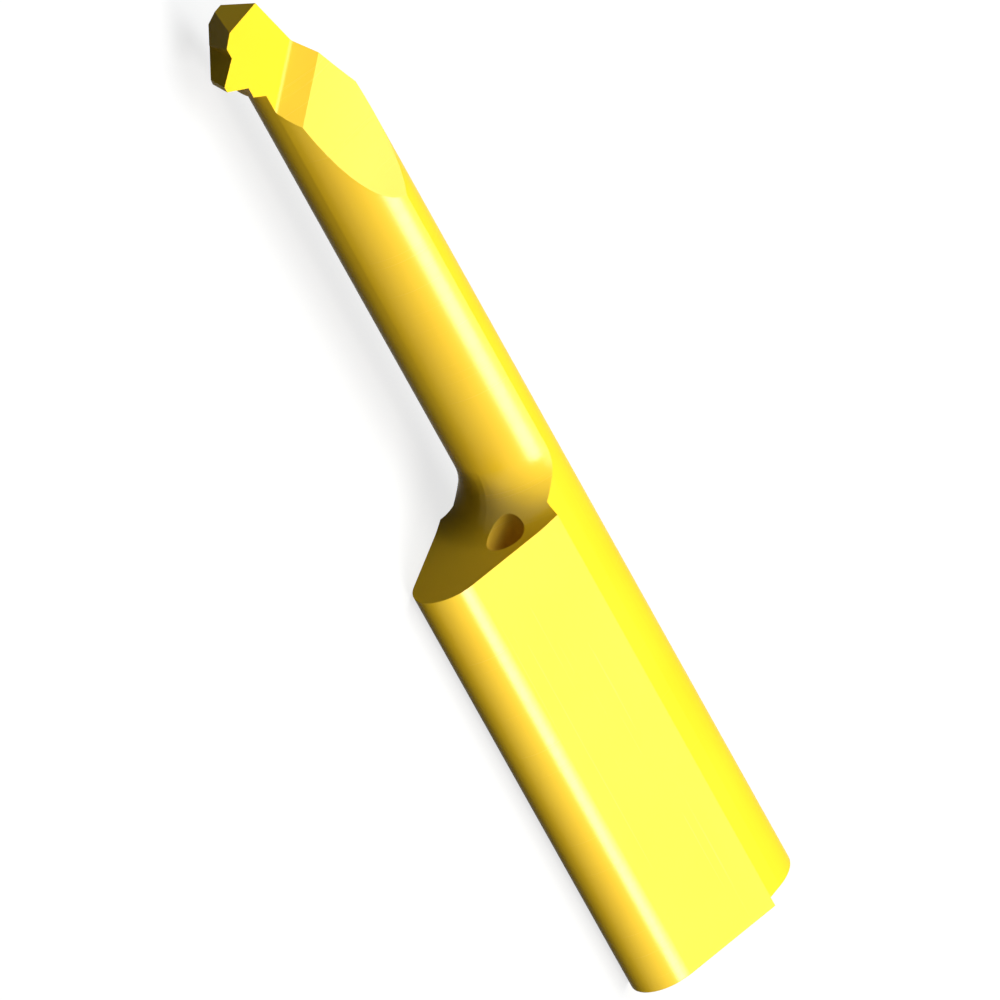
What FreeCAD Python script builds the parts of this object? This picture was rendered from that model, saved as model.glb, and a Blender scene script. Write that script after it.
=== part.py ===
import FreeCAD, Part
import math
import os
import re
import Sketcher
from FreeCAD import Placement, Rotation, Vector

# Solid carbide internal threading bar, ground from one drop-shaped blank.
# In the body, X runs along the bar to the tip from the shank's front face, Y runs across it
# to the tooth from the centre of the drop's nose, and Z stands on the rake, which lies on
# the drop's mid-plane. The body's placement then turns the bar onto its lower flat.

# Driving dimensions in millimetres and degrees: name, value, meaning
SIZES = [
    ("shank_length", 20.0, "rear end of the shank to its front face"),
    ("overhang", 24.57, "front face of the shank to the tip"),
    ("half_angle", 20.0, "each flat of the drop to its mid-plane"),
    ("nose_radius", 1.72, "rounding on the narrow side of the drop"),
    ("back_radius", 2.56, "rounding on the wide side of the drop"),
    ("centre_distance", 5.04, "nose centre to back centre"),
    ("flat_reach", 3.75, "nose centre to the far edge of each flat"),
    ("step_lean", 32.0, "lean of the step at the edge of a flat"),
    ("neck_radius", 2.64, "ground radius of the neck"),
    ("neck_offset", 6.52, "nose centre to the axis of the neck's radius"),
    ("root_radius", 2.15, "fillet from the neck to the shank's front face"),
    ("coolant_diameter", 1.73, "coolant hole through the shank"),
    ("coolant_across", 2.49, "nose centre to the coolant hole, across the bar"),
    ("coolant_above", 1.25, "mid-plane to the coolant hole"),
    ("pitch", 2.0, "pitch of the 60 degree thread that the tooth cuts"),
    ("tooth_setback", 1.60, "tip to the middle of the tooth"),
    ("crest_stand", 0.62, "side of the neck to the crest lands"),
    ("rear_land", 0.47, "crest land behind the tooth"),
    ("rear_slope", 32.5, "end of the rear land, from square to the bar"),
    ("wall_relief", 26.0, "relief of the tooth and lands below the rake"),
    ("corner_width", 0.54, "front corner cut, across the bar"),
    ("corner_angle", 36.0, "front corner cut, from square to the bar"),
    ("corner_relief", 25.0, "relief of the front corner cut"),
    ("front_width", 2.50, "crest land to the back corner of the tip"),
    ("back_relief", 16.0, "back of the head to the axis of the bar"),
    ("belly_depth", 1.20, "rake to the belly, below the crest land at the tip"),
    ("belly_angle", 30.0, "fall of the belly across the bar"),
    ("belly_tilt", 10.0, "fall of the belly along the bar"),
    ("toe_depth", 1.90, "rake to the chamfer under the tip"),
    ("toe_angle", 45.0, "chamfer under the tip"),
    ("recess_angle", 33.0, "rake recess, from square to the bar"),
    ("recess_foot", 1.98, "middle of the tip to the foot of the ramp"),
    ("foot_radius", 0.27, "radius at the foot of the ramp"),
    ("ramp_angle", 45.0, "ramp to the rake"),
    ("ramp_height", 0.83, "rake to the top of the ramp"),
    ("runout_slope", 11.5, "slope of the run-out at the top of the ramp"),
    ("runout_radius", 20.0, "radius of the run-out"),
]

# How far a cut reaches past the blank, so that it leaves no skin
SPARE = 1.0
# The 60 degree internal profile as shares of the pitch: depth, flat of the tooth, foot
PROFILE_DEPTH = 0.54127
TOOTH_FLAT = 0.125
TOOTH_FOOT = 0.75

# Sketcher's numbers for the points of a piece of geometry and for the sketch's own axis
START = 1
END = 2
CENTRE = 3
AXIS = -1

doc = FreeCAD.newDocument("threading_bar")
sheet = doc.addObject("Spreadsheet::Sheet", "sizes")
for row, (name, number, meaning) in enumerate(SIZES, start=1):
    sheet.set("A%d" % row, name)
    sheet.set("B%d" % row, str(number))
    sheet.set("C%d" % row, meaning)
    sheet.setAlias("B%d" % row, name)
doc.recompute()

NAMES = [name for name, number, meaning in SIZES]

body = doc.addObject("PartDesign::Body", "threading_bar")
body.Label = "threading_bar"


def bound(formula):
    """The formula with each size replaced by its cell of the sheet."""
    return re.sub(r"[a-z_]+", lambda word: cell(word.group()), formula)


def cell(word):
    return "sizes." + word if word in NAMES else word


def value(formula):
    return float(body.evalExpression(bound(formula)))


def new_sketch(name, plane, offset=Placement()):
    """A sketch on an origin plane of the body."""
    sketch = body.newObject("Sketcher::SketchObject", name)
    planes = body.Origin.OriginFeatures
    sketch.AttachmentSupport = [(next(item for item in planes if item.Role == plane), "")]
    sketch.MapMode = "FlatFace"
    sketch.AttachmentOffset = offset
    return sketch


def dimension(sketch, kind, places, name, formula):
    """One dimension of a sketch, bound to the sheet."""
    number = value(formula)
    if kind == "Angle":
        number = math.radians(number)
    index = sketch.addConstraint(Sketcher.Constraint(kind, *places, number))
    sketch.renameConstraint(index, name)
    sketch.setExpression("Constraints." + name, bound(formula))


def locate(sketch, geometry, point, name, across, up):
    """Place a point of a sketch by its two coordinates."""
    dimension(sketch, "DistanceX", (AXIS, START, geometry, point), name + "_x", across)
    dimension(sketch, "DistanceY", (AXIS, START, geometry, point), name + "_y", up)


def polygon(sketch, corners):
    """A closed outline of straight lines through named corners."""
    points = [Vector(value(across), value(up), 0) for name, across, up in corners]
    for index, point in enumerate(points):
        following = points[(index + 1) % len(points)]
        sketch.addGeometry(Part.LineSegment(point, following))
    for index, (name, across, up) in enumerate(corners):
        sketch.addConstraint(
            Sketcher.Constraint("Coincident", index - 1 if index else len(corners) - 1, END, index, START))
        locate(sketch, index, START, name, across, up)


def cut(name, sketch, length=None, direction=None):
    """A pocket, through everything both ways unless a length is given."""
    before = body.Shape.Volume
    pocket = body.newObject("PartDesign::Pocket", name)
    pocket.Profile = sketch
    if length is None:
        pocket.SideType = "Symmetric"
        pocket.Type = "ThroughAll"
    else:
        pocket.Type = "Length"
        pocket.setExpression("Length", bound(length))
    if direction is not None:
        pocket.UseCustomVector = True
        pocket.AlongSketchNormal = True
        for axis, formula in zip("xyz", direction):
            pocket.setExpression("Direction." + axis, bound(formula))
    finish_feature(pocket, before)
    return pocket


def finish_feature(feature, before):
    doc.recompute()
    if not body.Shape.Volume < before:
        raise RuntimeError(feature.Name + " cuts nothing")


# The places that several features share, as formulas
FLAT_HEIGHT = "(nose_radius / cos(half_angle) + flat_reach * tan(half_angle))"
STEP_REACH = "(flat_reach + (" + FLAT_HEIGHT + " - back_radius) * tan(step_lean))"
NECK_SIDE = "(neck_radius - neck_offset)"
LAND = "(neck_radius - neck_offset + crest_stand)"
TOOTH = "(overhang - tooth_setback)"
LAND_END = "(overhang - tooth_setback - %g * pitch - rear_land)" % (TOOTH_FOOT / 2)
OUTSIDE = "(nose_radius + %g)" % SPARE
BEHIND = "(-centre_distance - back_radius - %g)" % SPARE


def make_blank():
    """The drop section over the whole length: shank, neck and head are ground from it."""
    sketch = new_sketch("drop_section", "YZ_Plane")
    nose = value("nose_radius")
    back = value("back_radius")
    lean = math.radians(value("half_angle"))
    flat = Vector(-value("flat_reach"), value(FLAT_HEIGHT), 0)
    strip = Vector(-value(STEP_REACH), back, 0)
    crown = Vector(-value("centre_distance"), back, 0)
    touch = Vector(nose * math.sin(lean), nose * math.cos(lean), 0)
    upper = [touch, flat, strip, crown]
    lower = [Vector(point.x, -point.y, 0) for point in reversed(upper)]
    flip = Vector(0, 0, 1)
    quarter = math.pi / 2
    sketch.addGeometry(Part.ArcOfCircle(Part.Circle(Vector(), flip, nose), lean - quarter, quarter - lean))
    for first, second in zip(upper, upper[1:]):
        sketch.addGeometry(Part.LineSegment(first, second))
    centre = Vector(crown.x, 0, 0)
    sketch.addGeometry(Part.ArcOfCircle(Part.Circle(centre, flip, back), quarter, 3 * quarter))
    for first, second in zip(lower, lower[1:]):
        sketch.addGeometry(Part.LineSegment(first, second))
    nose_arc, upper_flat, upper_step, upper_strip, back_arc, lower_strip, lower_step, lower_flat = range(8)
    for first, second in ((nose_arc, upper_flat), (upper_strip, back_arc), (back_arc, lower_strip),
                          (lower_flat, nose_arc)):
        sketch.addConstraint(Sketcher.Constraint("Tangent", first, END, second, START))
    for first, second in ((upper_flat, upper_step), (upper_step, upper_strip), (lower_strip, lower_step),
                          (lower_step, lower_flat)):
        sketch.addConstraint(Sketcher.Constraint("Coincident", first, END, second, START))
    sketch.addConstraint(Sketcher.Constraint("Coincident", nose_arc, CENTRE, AXIS, START))
    sketch.addConstraint(Sketcher.Constraint("PointOnObject", back_arc, CENTRE, AXIS))
    sketch.addConstraint(Sketcher.Constraint("Horizontal", upper_strip))
    sketch.addConstraint(Sketcher.Constraint("Symmetric", upper_flat, END, lower_flat, START, AXIS))
    sketch.addConstraint(Sketcher.Constraint("Symmetric", upper_step, END, lower_step, START, AXIS))
    dimension(sketch, "Radius", (nose_arc,), "nose_radius", "nose_radius")
    dimension(sketch, "Radius", (back_arc,), "back_radius", "back_radius")
    dimension(sketch, "DistanceX", (back_arc, CENTRE, AXIS, START), "centre_distance", "centre_distance")
    dimension(sketch, "DistanceX", (upper_flat, END, AXIS, START), "flat_reach", "flat_reach")
    dimension(sketch, "DistanceX", (upper_step, END, AXIS, START), "step_reach", STEP_REACH)
    dimension(sketch, "Angle", (upper_flat,), "flat_angle", "180 - half_angle")
    pad = body.newObject("PartDesign::Pad", "blank")
    pad.Profile = sketch
    pad.SideType = "Two sides"
    pad.Type = "Length"
    pad.Type2 = "Length"
    pad.setExpression("Length", bound("overhang"))
    pad.setExpression("Length2", bound("shank_length"))
    doc.recompute()


def make_neck():
    """The neck is ground about an axis of its own, which leaves the back of the blank."""
    sketch = new_sketch("neck_profile", "XY_Plane")
    root = value("root_radius")
    side = value(NECK_SIDE)
    face = Vector(0, side + root, 0)
    root_end = Vector(root, side, 0)
    neck_end = Vector(value(LAND_END + " - crest_stand * tan(rear_slope)"), side, 0)
    land_end = Vector(value(LAND_END), value(LAND), 0)
    outer = value(OUTSIDE)
    arc = Part.Circle(Vector(root, side + root, 0), Vector(0, 0, 1), root)
    sketch.addGeometry(Part.ArcOfCircle(arc, math.pi, 1.5 * math.pi))
    line = [root_end, neck_end, land_end, Vector(land_end.x, outer, 0), Vector(0, outer, 0), face]
    for first, second in zip(line, line[1:]):
        sketch.addGeometry(Part.LineSegment(first, second))
    axis = sketch.addGeometry(Part.LineSegment(Vector(0, -value("neck_offset"), 0),
                                               Vector(1, -value("neck_offset"), 0)), True)
    fillet, neck, slope, front, outside, rear = range(6)
    for first, second in ((neck, slope), (slope, front), (front, outside), (outside, rear)):
        sketch.addConstraint(Sketcher.Constraint("Coincident", first, END, second, START))
    sketch.addConstraint(Sketcher.Constraint("Tangent", fillet, END, neck, START))
    sketch.addConstraint(Sketcher.Constraint("Tangent", rear, END, fillet, START))
    sketch.addConstraint(Sketcher.Constraint("Vertical", rear))
    sketch.addConstraint(Sketcher.Constraint("Horizontal", neck))
    sketch.addConstraint(Sketcher.Constraint("Vertical", front))
    sketch.addConstraint(Sketcher.Constraint("Horizontal", outside))
    sketch.addConstraint(Sketcher.Constraint("Horizontal", axis))
    dimension(sketch, "Radius", (fillet,), "root_radius", "root_radius")
    locate(sketch, rear, START, "corner", "0", OUTSIDE)
    locate(sketch, slope, START, "neck_end", LAND_END + " - crest_stand * tan(rear_slope)", NECK_SIDE)
    locate(sketch, slope, END, "land_end", LAND_END, LAND)
    locate(sketch, axis, START, "axis", "0", "-neck_offset")
    dimension(sketch, "DistanceX", (axis, START, axis, END), "axis_length", "1")
    before = body.Shape.Volume
    groove = body.newObject("PartDesign::Groove", "neck")
    groove.Profile = sketch
    groove.ReferenceAxis = (sketch, ["Axis0"])
    groove.Angle = 360
    finish_feature(groove, before)


def make_coolant_hole():
    """The hole runs along the bar through the shank and breaks out in the root fillet."""
    start = Placement(Vector(0, 0, 0), Rotation())
    sketch = new_sketch("coolant_section", "YZ_Plane", start)
    sketch.setExpression("AttachmentOffset.Base.z", bound("root_radius"))
    centre = Vector(-value("coolant_across"), value("coolant_above"), 0)
    sketch.addGeometry(Part.Circle(centre, Vector(0, 0, 1), value("coolant_diameter") / 2))
    dimension(sketch, "Diameter", (0,), "coolant_diameter", "coolant_diameter")
    locate(sketch, 0, CENTRE, "coolant", "-coolant_across", "coolant_above")
    cut("coolant_hole", sketch, "root_radius + shank_length + %g" % SPARE)


def make_belly():
    """The underside of the head, ground flat, falls back and away from the tooth."""
    sketch = new_sketch("belly_section", "YZ_Plane")
    sketch.setExpression("AttachmentOffset.Base.z", bound("overhang"))
    deep = "(-nose_radius - centre_distance - back_radius)"
    fall = "-belly_depth + (%s - " + LAND + ") * tan(belly_angle)"
    polygon(sketch, [
        ("tooth_side", OUTSIDE, fall % OUTSIDE),
        ("back_side", BEHIND, fall % BEHIND),
        ("back_low", BEHIND, deep),
        ("tooth_low", OUTSIDE, deep),
    ])
    length = "(back_radius + neck_radius) / tan(belly_tilt)"
    cut("belly", sketch, "min(" + length + "; overhang - root_radius)",
        ("-cos(belly_tilt)", "0", "-sin(belly_tilt)"))


def make_toe():
    """The lower edge of the tip is chamfered to clear the bore."""
    sketch = new_sketch("toe_section", "XZ_Plane")
    low = "(back_radius + nose_radius)"
    polygon(sketch, [
        ("tip", "overhang + %g" % SPARE, "-toe_depth + %g * tan(toe_angle)" % SPARE),
        ("under", "overhang - (" + low + " - toe_depth) / tan(toe_angle)", "-" + low),
        ("ahead", "overhang + %g" % SPARE, "-" + low),
    ])
    cut("toe", sketch)


def make_thread_form():
    """Full-profile tooth between two crest lands, relieved below the rake."""
    sketch = new_sketch("thread_profile", "XY_Plane")
    tip = LAND + " + %g * pitch" % PROFILE_DEPTH
    polygon(sketch, [
        ("front", "overhang + %g" % SPARE, LAND),
        ("front_foot", TOOTH + " + %g * pitch" % (TOOTH_FOOT / 2), LAND),
        ("front_tip", TOOTH + " + %g * pitch" % (TOOTH_FLAT / 2), tip),
        ("rear_tip", TOOTH + " - %g * pitch" % (TOOTH_FLAT / 2), tip),
        ("rear_foot", TOOTH + " - %g * pitch" % (TOOTH_FOOT / 2), LAND),
        ("rear", LAND_END + " - crest_stand", LAND),
        ("rear_outside", LAND_END + " - crest_stand", OUTSIDE),
        ("front_outside", "overhang + %g" % SPARE, OUTSIDE),
    ])
    cut("thread_form", sketch, "nose_radius + centre_distance + back_radius",
        ("0", "-sin(wall_relief)", "-cos(wall_relief)"))


def make_corner_relief():
    """The front corner of the head is cut back at a slant."""
    sketch = new_sketch("corner_profile", "XY_Plane")
    corner = "(" + LAND + " - corner_width)"
    foot = "(" + TOOTH + " + %g * pitch)" % (TOOTH_FOOT / 2)
    run = "(overhang - " + foot + ")"
    ahead = "overhang + back_radius * sin(corner_angle)"
    polygon(sketch, [
        ("tip", ahead, corner + " - back_radius * cos(corner_angle)"),
        ("land", foot, corner + " + " + run + " / tan(corner_angle)"),
        ("outside", ahead, corner + " + " + run + " / tan(corner_angle)"),
    ])
    cut("corner_relief", sketch, "nose_radius + centre_distance + back_radius",
        ("-cos(corner_angle) * sin(corner_relief)", "-sin(corner_angle) * sin(corner_relief)",
         "-cos(corner_relief)"))


def make_back_relief():
    """The back of the head tapers in towards the tip."""
    sketch = new_sketch("back_profile", "XY_Plane")
    corner = "(" + LAND + " - front_width)"
    polygon(sketch, [
        ("tip", "overhang + %g" % SPARE, corner + " + %g * tan(back_relief)" % SPARE),
        ("run_out", "overhang + (" + BEHIND + " - " + corner + ") / tan(back_relief)", BEHIND),
        ("behind", "overhang + %g" % SPARE, BEHIND),
    ])
    cut("back_taper", sketch)


def make_rake():
    """The rake recess: flat rake, filleted foot, ramp, and a run-out along the wheel's radius."""
    turned = Placement(Vector(0, 0, 0), Rotation(Vector(0, 1, 0), value("recess_angle")))
    sketch = new_sketch("rake_profile", "XZ_Plane", turned)
    sketch.setExpression("AttachmentOffset.Base.x", bound("overhang"))
    sketch.setExpression("AttachmentOffset.Base.z", bound("neck_offset"))
    sketch.setExpression("AttachmentOffset.Rotation.Angle", bound("recess_angle"))
    radius = value("foot_radius")
    slope = math.radians(value("ramp_angle"))
    tangent = radius * math.tan(slope / 2)
    foot = -value("recess_foot")
    height = value("ramp_height")
    top = Vector(foot - height / math.tan(slope), height, 0)
    lean = math.radians(value("runout_slope"))
    wheel = value("runout_radius")
    wheel_centre = top + Vector(wheel * math.sin(lean), wheel * math.cos(lean), 0)
    roof = value("back_radius + nose_radius + %g" % SPARE)
    finish = math.acos((wheel_centre.y - roof) / wheel)
    runout_end = wheel_centre + Vector(-wheel * math.sin(finish), -wheel * math.cos(finish), 0)
    edge = value("nose_radius + neck_offset + %g" % SPARE)
    rake_end = Vector(foot + tangent, 0, 0)
    ramp_start = Vector(foot - tangent * math.cos(slope), tangent * math.sin(slope), 0)
    fillet = Part.Circle(Vector(rake_end.x, radius, 0), Vector(0, 0, 1), radius)
    down = -math.pi / 2
    sketch.addGeometry(Part.LineSegment(Vector(edge, 0, 0), rake_end))
    sketch.addGeometry(Part.ArcOfCircle(fillet, down - slope, down))
    sketch.addGeometry(Part.LineSegment(ramp_start, top))
    run_out = Part.Circle(wheel_centre, Vector(0, 0, 1), wheel)
    sketch.addGeometry(Part.ArcOfCircle(run_out, down - finish, down - lean))
    sketch.addGeometry(Part.LineSegment(runout_end, Vector(edge, roof, 0)))
    sketch.addGeometry(Part.LineSegment(Vector(edge, roof, 0), Vector(edge, 0, 0)))
    rake, foot_arc, ramp, runout, ceiling, side = range(6)
    sketch.addConstraint(Sketcher.Constraint("Tangent", rake, END, foot_arc, END))
    sketch.addConstraint(Sketcher.Constraint("Tangent", foot_arc, START, ramp, START))
    sketch.addConstraint(Sketcher.Constraint("Coincident", ramp, END, runout, END))
    sketch.addConstraint(Sketcher.Constraint("Coincident", runout, START, ceiling, START))
    sketch.addConstraint(Sketcher.Constraint("Coincident", ceiling, END, side, START))
    sketch.addConstraint(Sketcher.Constraint("Coincident", side, END, rake, START))
    sketch.addConstraint(Sketcher.Constraint("Horizontal", rake))
    sketch.addConstraint(Sketcher.Constraint("Horizontal", ceiling))
    sketch.addConstraint(Sketcher.Constraint("Vertical", side))
    dimension(sketch, "Radius", (foot_arc,), "foot_radius", "foot_radius")
    dimension(sketch, "Radius", (runout,), "runout_radius", "runout_radius")
    dimension(sketch, "Angle", (ramp,), "ramp_angle", "180 - ramp_angle")
    locate(sketch, side, END, "edge", "nose_radius + neck_offset + %g" % SPARE, "0")
    dimension(sketch, "DistanceY", (side, END, side, START), "roof", "back_radius + nose_radius + %g" % SPARE)
    locate(sketch, ramp, END, "ramp_top", "-recess_foot - ramp_height / tan(ramp_angle)", "ramp_height")
    dimension(sketch, "DistanceX", (ramp, END, runout, CENTRE), "runout_slope",
              "runout_radius * sin(runout_slope)")
    cut("rake", sketch)


def rest_on_flat():
    """The bar lies on its lower flat, with the middle of that flat at the origin."""
    body.Placement = Placement(Vector(0, 0, 0), Rotation(Vector(-1, 0, 0), value("half_angle")))
    body.setExpression("Placement.Base.x", bound("shank_length / 2"))
    body.setExpression("Placement.Base.y",
                       bound("(flat_reach + nose_radius * sin(half_angle)) / (2 * cos(half_angle))"))
    body.setExpression("Placement.Base.z", bound("nose_radius"))
    body.setExpression("Placement.Rotation.Angle", bound("half_angle"))


make_blank()
make_neck()
make_coolant_hole()
make_belly()
make_toe()
make_thread_form()
make_corner_relief()
make_back_relief()
make_rake()
rest_on_flat()
doc.recompute()

for item in doc.Objects:
    if "Invalid" in item.State or "Error" in item.State:
        raise RuntimeError(item.Name + " did not build")
    if item.TypeId == "Sketcher::SketchObject" and not item.FullyConstrained:
        raise RuntimeError(item.Name + " is not fully constrained")
shape = body.Shape
if shape.isNull() or not shape.isValid() or len(shape.Solids) != 1:
    raise RuntimeError("the bar is not one valid solid")
os.makedirs("parts", exist_ok=True)
shape.exportStep(os.path.join("parts", body.Label + ".step"))
box = shape.BoundBox
print("threading bar %.2f x %.2f x %.2f mm, %.1f cubic mm, %d faces"
      % (box.XLength, box.YLength, box.ZLength, shape.Volume, len(shape.Faces)))
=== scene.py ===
import math

import bmesh
import bpy
from mathutils import Matrix, Vector

# Solid carbide internal threading bar with a gold titanium nitride coating,
# lying on its lower flat. X runs to the tip, Y to the narrow side and Z is up. Lengths are in
# metres, apart from the two view points that say otherwise.

MM = 0.001

# Places on the bar: which way its two flats face, and the coolant bore's axis and wall
CLAMP_FLAT = (0, 0.642788, 0.766044)
SEAT_FLAT = (0, 0, -1)
ON_FLAT = 0.999
BORE_AXIS = (0, 0.396 * MM, 3.746 * MM)
BORE_EDGE = 0.87 * MM

# Grinding lines. Real ones are some 0.01 mm apart, too fine to show, so these are coarser.
GRIND_PITCH = 0.11 * MM
GRIND_RUN = 16 * MM
GRIND_DEPTH = 0.002 * MM
GRIND_STRENGTH = 0.06
ROUGH_FINE = 0.22
ROUGH_COARSE = 0.28

# The film's colours, a paler colour painted on the bore wall as painted light, and the size of the patches
# in which the film varies
FILM_REDDER = "#FFDB30"
FILM_PALER = "#FFDF36"
BORE_PAINTED_LIGHT = "#FFDC4C"
CLOUD_SIZE = 5 * MM

# The part of a noise's range that carries most of its values
NOISE_LOW = 0.3
NOISE_HIGH = 0.7

# Specular level where a face looks at the viewer and where it has turned away
GLOSS_FACING = 0.55
GLOSS_TURNED = 0.005
TURN_START = 0.12
TURN_END = 0.36

# Floor and sky: how bright each looks, and how much light each throws at the bar
FLOOR_PAPER = "#7E858F"
FLOOR_LIFT = 0.75
FLOOR_THROWN = "#303030"
FLOOR_HALF = 2.0
SKY_SEEN = 1.0
SKY_THROWN = 0.06

# View: the direction to the camera, its right hand side, the point in the middle and its shift
# across the picture, both in millimetres, and the width of the picture at the bar
VIEW_BACK = (0.440, 0.786, 0.436)
VIEW_RIGHT = (-0.438, -0.236, 0.868)
VIEW_POINT = (10.0, 2.309, 1.72)
VIEW_SHIFT = (1.96, 3.07)
VIEW_WIDTH = 40 * MM
LENS = 1200
SENSOR_WIDTH = 36
CLIP_START = 0.1
CLIP_END = 4.0

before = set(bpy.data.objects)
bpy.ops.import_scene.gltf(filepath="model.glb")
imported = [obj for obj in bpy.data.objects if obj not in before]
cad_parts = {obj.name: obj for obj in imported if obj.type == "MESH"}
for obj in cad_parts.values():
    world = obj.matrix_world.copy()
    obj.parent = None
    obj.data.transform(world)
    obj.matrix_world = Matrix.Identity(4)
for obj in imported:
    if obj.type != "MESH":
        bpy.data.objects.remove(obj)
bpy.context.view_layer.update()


def linear(code):
    """A hex sRGB colour as linear RGBA."""
    parts = [int(code[i:i + 2], 16) / 255 for i in (1, 3, 5)]
    return [p / 12.92 if p <= 0.04045 else ((p + 0.055) / 1.055) ** 2.4 for p in parts] + [1.0]


def add(tree, kind, settings=None, inputs=None):
    """A node with its settings, and its inputs set to values or linked from sockets."""
    node = tree.nodes.new(kind)
    for key, setting in (settings or {}).items():
        setattr(node, key, setting)
    for key, source in (inputs or {}).items():
        if isinstance(source, bpy.types.NodeSocket):
            tree.links.new(source, node.inputs[key])
        else:
            node.inputs[key].default_value = source
    return node


def calc(tree, operation, first, second):
    """The result of one sum or comparison of two values or sockets."""
    return add(tree, "ShaderNodeMath", {"operation": operation}, {0: first, 1: second}).outputs[0]


def material(name):
    """An empty node material with its output."""
    made = bpy.data.materials.new(name)
    made.use_nodes = True
    made.node_tree.nodes.clear()
    output = made.node_tree.nodes.new("ShaderNodeOutputMaterial")
    return made, made.node_tree, output


def on_flats(tree, normal):
    """1 on the clamping flat and the seat flat, 0 elsewhere."""
    facing = []
    for direction in (CLAMP_FLAT, SEAT_FLAT):
        dot = add(tree, "ShaderNodeVectorMath", {"operation": "DOT_PRODUCT"}, {0: normal, 1: direction})
        facing.append(calc(tree, "GREATER_THAN", dot.outputs["Value"], ON_FLAT))
    return calc(tree, "MAXIMUM", facing[0], facing[1])


def in_bore(tree, place):
    """1 on the wall of the coolant bore, 0 outside it."""
    near = add(tree, "ShaderNodeVectorMath", {"operation": "SUBTRACT"}, {0: place, 1: BORE_AXIS})
    across = add(tree, "ShaderNodeVectorMath", {"operation": "MULTIPLY"}, {0: near.outputs[0], 1: (0, 1, 1)})
    radius = add(tree, "ShaderNodeVectorMath", {"operation": "LENGTH"}, {0: across.outputs[0]})
    return calc(tree, "LESS_THAN", radius.outputs["Value"], BORE_EDGE)


def coated_carbide():
    """Ground cemented carbide under a thin titanium nitride film: a warm gold that fills with light
    on the flats, falls to a deep amber on the shaded side, and carries one soft white streak along
    the rounds. Faint grinding lines run round the bar, and lengthwise on its two flats."""
    made, tree, output = material("titanium_nitride_on_ground_carbide")
    coordinates = add(tree, "ShaderNodeTexCoord").outputs
    place = coordinates["Object"]
    round_lines = add(tree, "ShaderNodeVectorMath", {"operation": "MULTIPLY"},
                      {0: place, 1: (1 / GRIND_PITCH, 1 / GRIND_RUN, 1 / GRIND_RUN)})
    long_lines = add(tree, "ShaderNodeVectorMath", {"operation": "MULTIPLY"},
                     {0: place, 1: (1 / GRIND_RUN, 1 / GRIND_PITCH, 1 / GRIND_PITCH)})
    flats = on_flats(tree, coordinates["Normal"])
    lines = add(tree, "ShaderNodeMix", {"data_type": "VECTOR"},
                {"Factor": flats, 4: round_lines.outputs[0], 5: long_lines.outputs[0]})
    grind = add(tree, "ShaderNodeTexNoise", {"noise_dimensions": "3D"},
                {"Vector": lines.outputs[1], "Scale": 1.0, "Detail": 3.0, "Roughness": 0.6}).outputs["Fac"]
    # The film is a little thicker and redder in soft patches some 5 mm wide
    cloud = add(tree, "ShaderNodeTexNoise", {"noise_dimensions": "3D"},
                {"Vector": place, "Scale": 1 / CLOUD_SIZE, "Detail": 2.0, "Roughness": 0.5}).outputs["Fac"]
    tint = add(tree, "ShaderNodeMapRange", {},
               {"Value": cloud, "From Min": NOISE_LOW, "From Max": NOISE_HIGH})
    film = add(tree, "ShaderNodeMix", {"data_type": "RGBA"},
               {"Factor": tint.outputs["Result"], 6: linear(FILM_REDDER), 7: linear(FILM_PALER)})
    # The bore wall is painted paler than the film: painted light that stands in for the light that can't
    # reach into the bore
    coat = add(tree, "ShaderNodeMix", {"data_type": "RGBA"},
               {"Factor": in_bore(tree, place), 6: film.outputs[2], 7: linear(BORE_PAINTED_LIGHT)})
    rough = add(tree, "ShaderNodeMapRange", {},
                {"Value": grind, "From Min": NOISE_LOW, "From Max": NOISE_HIGH,
                 "To Min": ROUGH_FINE, "To Max": ROUGH_COARSE})
    bump = add(tree, "ShaderNodeBump", {},
               {"Strength": GRIND_STRENGTH, "Distance": GRIND_DEPTH, "Height": grind})
    # The gloss fades where the surface turns away, so the shaded edges stay amber
    turn = add(tree, "ShaderNodeLayerWeight", {}, {"Blend": 0.5}).outputs["Facing"]
    gloss = add(tree, "ShaderNodeMapRange", {},
                {"Value": turn, "From Min": TURN_START, "From Max": TURN_END,
                 "To Min": GLOSS_FACING, "To Max": GLOSS_TURNED})
    shader = add(tree, "ShaderNodeBsdfPrincipled", {}, {
        "Base Color": coat.outputs[2],
        "Roughness": rough.outputs["Result"],
        "Specular IOR Level": gloss.outputs["Result"],
        "Normal": bump.outputs["Normal"],
    })
    tree.links.new(shader.outputs["BSDF"], output.inputs["Surface"])
    return made


def seen_rays(tree):
    """1 for what the camera sees, also in gloss or through glass, and 0 for light on other things."""
    ray = add(tree, "ShaderNodeLightPath").outputs
    mirrored = calc(tree, "MAXIMUM", ray["Is Glossy Ray"], ray["Is Transmission Ray"])
    return calc(tree, "MAXIMUM", ray["Is Camera Ray"], mirrored)


def pale_floor():
    """White paper that looks plain white where no shadow falls, and throws little light at the bar."""
    made, tree, output = material("white_paper_sweep")
    paper = add(tree, "ShaderNodeBsdfDiffuse", {}, {"Color": linear(FLOOR_PAPER)})
    lift = add(tree, "ShaderNodeEmission", {}, {"Color": linear("#FFFFFF"), "Strength": FLOOR_LIFT})
    lit = add(tree, "ShaderNodeAddShader", {}, {0: paper.outputs[0], 1: lift.outputs[0]})
    thrown = add(tree, "ShaderNodeBsdfDiffuse", {}, {"Color": linear(FLOOR_THROWN)})
    mix = add(tree, "ShaderNodeMixShader", {}, {0: seen_rays(tree), 1: thrown.outputs[0], 2: lit.outputs[0]})
    tree.links.new(mix.outputs[0], output.inputs["Surface"])
    return made


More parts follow.
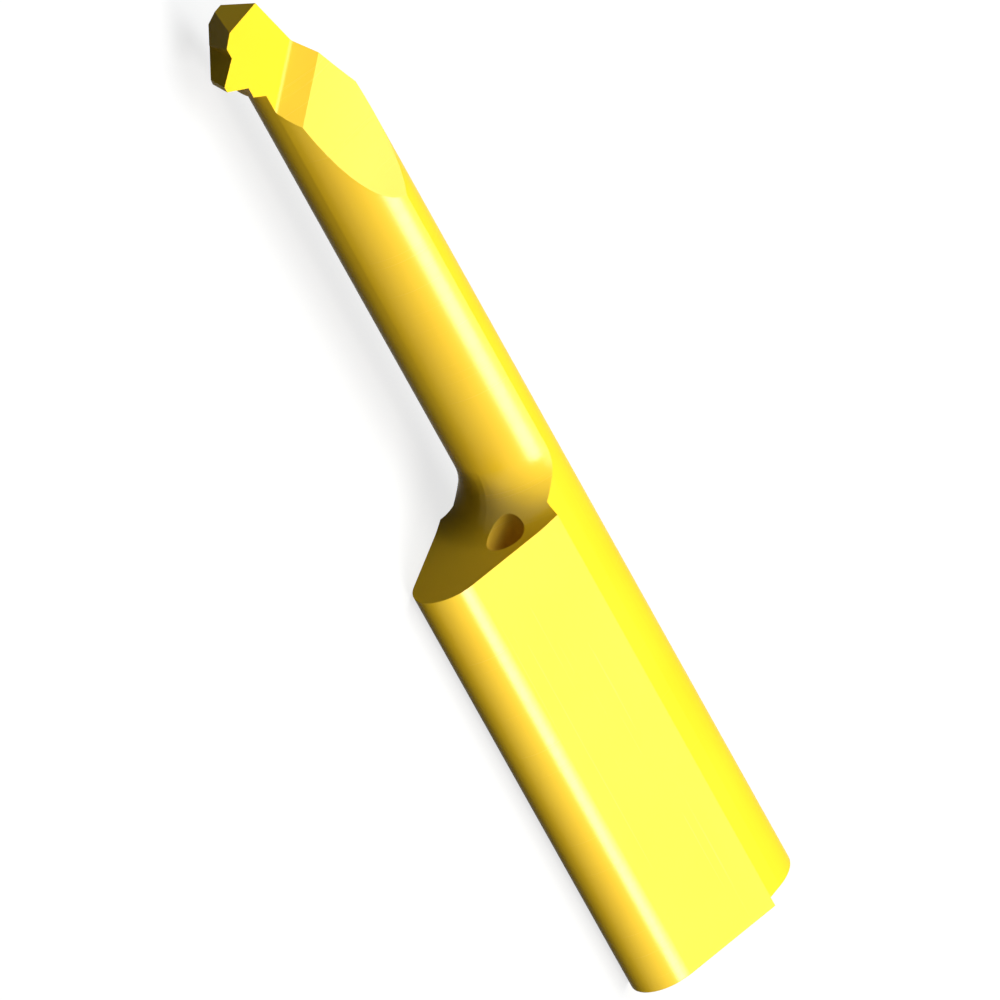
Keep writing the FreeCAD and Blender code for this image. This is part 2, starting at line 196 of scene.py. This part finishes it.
def build_floor():
    """A level sheet under the bar, which is part of the stage and not of the object."""
    shape = bmesh.new()
    bmesh.ops.create_grid(shape, x_segments=1, y_segments=1, size=FLOOR_HALF)
    mesh = bpy.data.meshes.new("floor")
    shape.to_mesh(mesh)
    shape.free()
    floor = bpy.data.objects.new("floor", mesh)
    bpy.context.scene.collection.objects.link(floor)
    mesh.materials.append(pale_floor())


def sun(name, direction, energy, spread, colour):
    """A softbox far off in a direction, with its spread in degrees and the colour of its light."""
    lamp = bpy.data.lights.new(name, "SUN")
    lamp.energy = energy
    lamp.angle = math.radians(spread)
    lamp.color = linear(colour)[:3]
    placed = bpy.data.objects.new(name, lamp)
    placed.rotation_mode = "QUATERNION"
    placed.rotation_quaternion = Vector(direction).to_track_quat("Z", "Y")
    bpy.context.scene.collection.objects.link(placed)


def light_scene():
    """Two softboxes, one off the narrow side that draws the streak and one overhead, and a faint sky."""
    sun("side_softbox", (-0.42, 0.635, 0.649), 2.4, 24, "#FFEFDC")
    sun("overhead_softbox", (0.0, 0.12, 0.993), 2.7, 60, "#FFF5E4")
    world = bpy.data.worlds.new("studio")
    bpy.context.scene.world = world
    world.use_nodes = True
    tree = world.node_tree
    tree.nodes.clear()
    output = tree.nodes.new("ShaderNodeOutputWorld")
    white = add(tree, "ShaderNodeBackground", {}, {"Color": (1, 1, 1, 1), "Strength": SKY_SEEN})
    dim = add(tree, "ShaderNodeBackground", {}, {"Color": (1, 1, 1, 1), "Strength": SKY_THROWN})
    mix = add(tree, "ShaderNodeMixShader", {}, {0: seen_rays(tree), 1: dim.outputs[0], 2: white.outputs[0]})
    tree.links.new(mix.outputs[0], output.inputs["Surface"])


def aim_camera():
    """A long lens from above the tooth's side, turned so that the bar stands on its rear end."""
    back = Vector(VIEW_BACK).normalized()
    right = Vector(VIEW_RIGHT)
    right = (right - right.dot(back) * back).normalized()
    up = back.cross(right)
    target = (Vector(VIEW_POINT) + right * VIEW_SHIFT[0] + up * VIEW_SHIFT[1]) * MM
    data = bpy.data.cameras.new("camera")
    data.type = "PERSP"
    data.lens = LENS
    data.sensor_width = SENSOR_WIDTH
    data.clip_start = CLIP_START
    data.clip_end = CLIP_END
    camera = bpy.data.objects.new("camera", data)
    camera.rotation_mode = "QUATERNION"
    camera.rotation_quaternion = Matrix((right, up, back)).transposed().to_quaternion()
    camera.location = target + back * VIEW_WIDTH * data.lens / data.sensor_width
    bpy.context.scene.collection.objects.link(camera)
    bpy.context.scene.camera = camera


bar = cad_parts["threading_bar"]
gold = coated_carbide()
for index in range(len(bar.data.materials)):
    bar.data.materials[index] = gold

build_floor()
light_scene()
aim_camera()
bpy.context.scene.view_settings.view_transform = "Standard"
